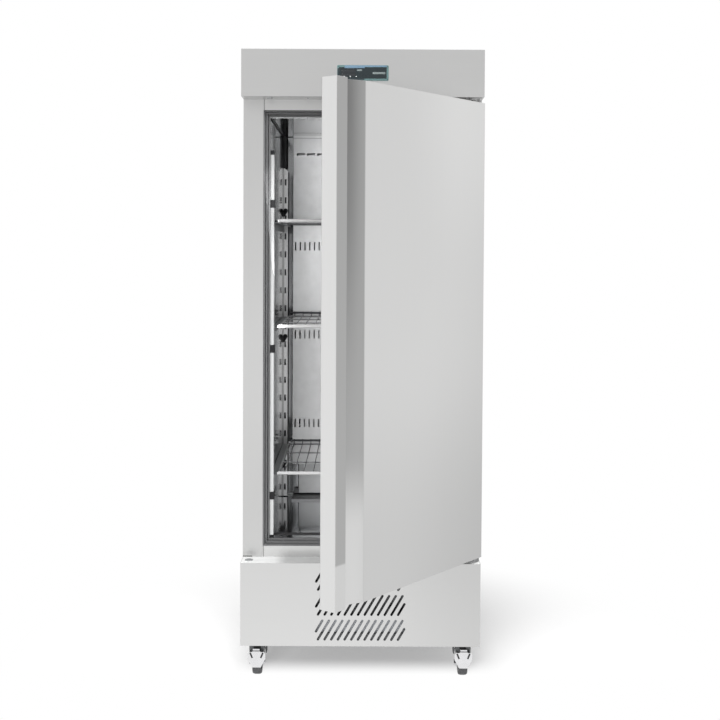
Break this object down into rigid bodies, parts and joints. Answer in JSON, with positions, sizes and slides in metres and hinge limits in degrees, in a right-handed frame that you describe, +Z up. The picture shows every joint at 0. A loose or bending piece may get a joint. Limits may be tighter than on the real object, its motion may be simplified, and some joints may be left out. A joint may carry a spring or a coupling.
{
  "type": "upright freezer",
  "caption": "Upright catering freezer: stainless cabinet with hinged door and full-height handle, wire shelves, grilled plinth with its cooling unit, on swivel castors.",
  "frame": {"origin": "on the floor, in the centre of the width, straight below the back face", "axes": "+X to the viewer's right as the door is faced, +Y to the back, +Z up"},
  "size_m": [0.7356, 1.3591, 1.927],
  "materials": {
    "stainless": "satin",
    "liner_steel": "gloss",
    "foam": "matte",
    "breaker_grey": "matte",
    "panel_teal": "satin",
    "overlay_slate": "gloss",
    "black_plastic": "matte",
    "base_grey": "matte",
    "galvanised": "satin",
    "hinge_steel": "satin",
    "hinge_dark": "satin",
    "plug_grey": "matte",
    "lamp_white": "satin",
    "duct_grey": "satin",
    "runner_grey": "satin",
    "shelf_wire": "gloss",
    "coil_aluminium": "satin",
    "compressor_black": "gloss",
    "copper": "satin",
    "probe_white": "matte",
    "gasket_grey": "matte",
    "bush_nylon": "satin",
    "castor_zinc": "gloss",
    "castor_dark": "satin",
    "wheel_grey": "matte"
  },
  "bodies": {
    "cabinet": {"side_panel_left": "stainless", "side_panel_right": "stainless", "rear_panel": "stainless", "roof_panel": "stainless", "cabinet_insulation": "foam", "liner": "liner_steel", "door_frame_rails": "stainless", "thermal_breaker": "breaker_grey", "fascia": "stainless", "control_bezel": "panel_teal", "control_overlay": "overlay_slate", "controller_box": "black_plastic", "plinth_front": "stainless", "plinth_sides": "stainless", "plinth_deck": "stainless", "rear_grille": "stainless", "base_pan": "base_grey", "unit_tray": "galvanised", "hinge_bracket_top": "hinge_steel", "hinge_block_bottom": "hinge_dark", "blanking_plugs": "plug_grey", "shelf_uprights": "liner_steel", "upright_knobs": "black_plastic", "shelf_runners": "runner_grey", "lamp_bar": "lamp_white", "lamp_clips": "black_plastic", "duct_panel": "duct_grey", "evaporator_coil": "coil_aluminium", "evaporator_fan_frame": "black_plastic", "drain_trough": "breaker_grey", "air_probe": "probe_white", "compressor": "compressor_black", "condenser_coil": "coil_aluminium", "condenser_shroud": "galvanised", "condenser_fan_motor": "galvanised", "pipework": "copper", "evaporating_tray": "black_plastic", "mains_inlet": "black_plastic", "castor_plates": "castor_dark"},
    "door": {"door_skin": "stainless", "door_insulation": "foam", "door_liner": "liner_steel", "door_gasket": "gasket_grey", "hinge_bushes": "bush_nylon"},
    "shelf_top": {"shelf_top": "shelf_wire"},
    "shelf_middle": {"shelf_middle": "shelf_wire"},
    "shelf_bottom": {"shelf_bottom": "shelf_wire"},
    "evaporator_fan": {"evaporator_fan": "black_plastic"},
    "condenser_fan": {"condenser_fan": "black_plastic"},
    "castor_fl": {"castor_fork_fl": "castor_zinc"},
    "wheel_fl": {"castor_wheel_fl": "wheel_grey"},
    "castor_fr": {"castor_fork_fr": "castor_zinc"},
    "wheel_fr": {"castor_wheel_fr": "wheel_grey"},
    "castor_rl": {"castor_fork_rl": "castor_zinc"},
    "wheel_rl": {"castor_wheel_rl": "wheel_grey"},
    "castor_rr": {"castor_fork_rr": "castor_zinc"},
    "wheel_rr": {"castor_wheel_rr": "wheel_grey"},
    "pedal_fl": {"castor_pedal_fl": "castor_zinc"},
    "pedal_fr": {"castor_pedal_fr": "castor_zinc"}
  },
  "joints": [
    {"name": "door_hinge", "type": "hinge", "parent": "cabinet", "child": "door", "pos_m": [0.342, -0.789, 0.4], "axis": [0, 0, 1], "range_deg": [-52.5, 52.5]},
    {"name": "shelf_top_slide", "type": "slide", "parent": "cabinet", "child": "shelf_top", "axis": [0, -1, 0], "range_m": [0, 0.045]},
    {"name": "shelf_middle_slide", "type": "slide", "parent": "cabinet", "child": "shelf_middle", "axis": [0, -1, 0], "range_m": [0, 0.045]},
    {"name": "shelf_bottom_slide", "type": "slide", "parent": "cabinet", "child": "shelf_bottom", "axis": [0, -1, 0], "range_m": [0, 0.045]},
    {"name": "evaporator_fan_spin", "type": "hinge", "parent": "cabinet", "child": "evaporator_fan", "pos_m": [0, -0.115, 1.5], "axis": [0, 1, 0], "continuous": true},
    {"name": "condenser_fan_spin", "type": "hinge", "parent": "cabinet", "child": "condenser_fan", "pos_m": [-0.04, -0.69, 0.252], "axis": [0, 1, 0], "continuous": true},
    {"name": "castor_fl_swivel", "type": "hinge", "parent": "cabinet", "child": "castor_fl", "pos_m": [-0.32, -0.694, 0.108], "axis": [0, 0, 1], "continuous": true},
    {"name": "wheel_fl_spin", "type": "hinge", "parent": "castor_fl", "child": "wheel_fl", "pos_m": [-0.32, -0.724, 0.0375], "axis": [1, 0, 0], "continuous": true},
    {"name": "pedal_fl_press", "type": "hinge", "parent": "castor_fl", "child": "pedal_fl", "pos_m": [-0.32, -0.712, 0.076], "axis": [1, 0, 0], "range_deg": [0, 4], "stiffness_Nm_per_rad": 2, "springref_deg": -2.86},
    {"name": "castor_fr_swivel", "type": "hinge", "parent": "cabinet", "child": "castor_fr", "pos_m": [0.32, -0.694, 0.108], "axis": [0, 0, 1], "continuous": true},
    {"name": "wheel_fr_spin", "type": "hinge", "parent": "castor_fr", "child": "wheel_fr", "pos_m": [0.32, -0.724, 0.0375], "axis": [1, 0, 0], "continuous": true},
    {"name": "pedal_fr_press", "type": "hinge", "parent": "castor_fr", "child": "pedal_fr", "pos_m": [0.32, -0.712, 0.076], "axis": [1, 0, 0], "range_deg": [0, 4], "stiffness_Nm_per_rad": 2, "springref_deg": -2.86},
    {"name": "castor_rl_swivel", "type": "hinge", "parent": "cabinet", "child": "castor_rl", "pos_m": [-0.32, -0.095, 0.108], "axis": [0, 0, 1], "continuous": true},
    {"name": "wheel_rl_spin", "type": "hinge", "parent": "castor_rl", "child": "wheel_rl", "pos_m": [-0.32, -0.065, 0.0375], "axis": [1, 0, 0], "continuous": true},
    {"name": "castor_rr_swivel", "type": "hinge", "parent": "cabinet", "child": "castor_rr", "pos_m": [0.32, -0.095, 0.108], "axis": [0, 0, 1], "continuous": true},
    {"name": "wheel_rr_spin", "type": "hinge", "parent": "castor_rr", "child": "wheel_rr", "pos_m": [0.32, -0.065, 0.0375], "axis": [1, 0, 0], "continuous": true}
  ]
}
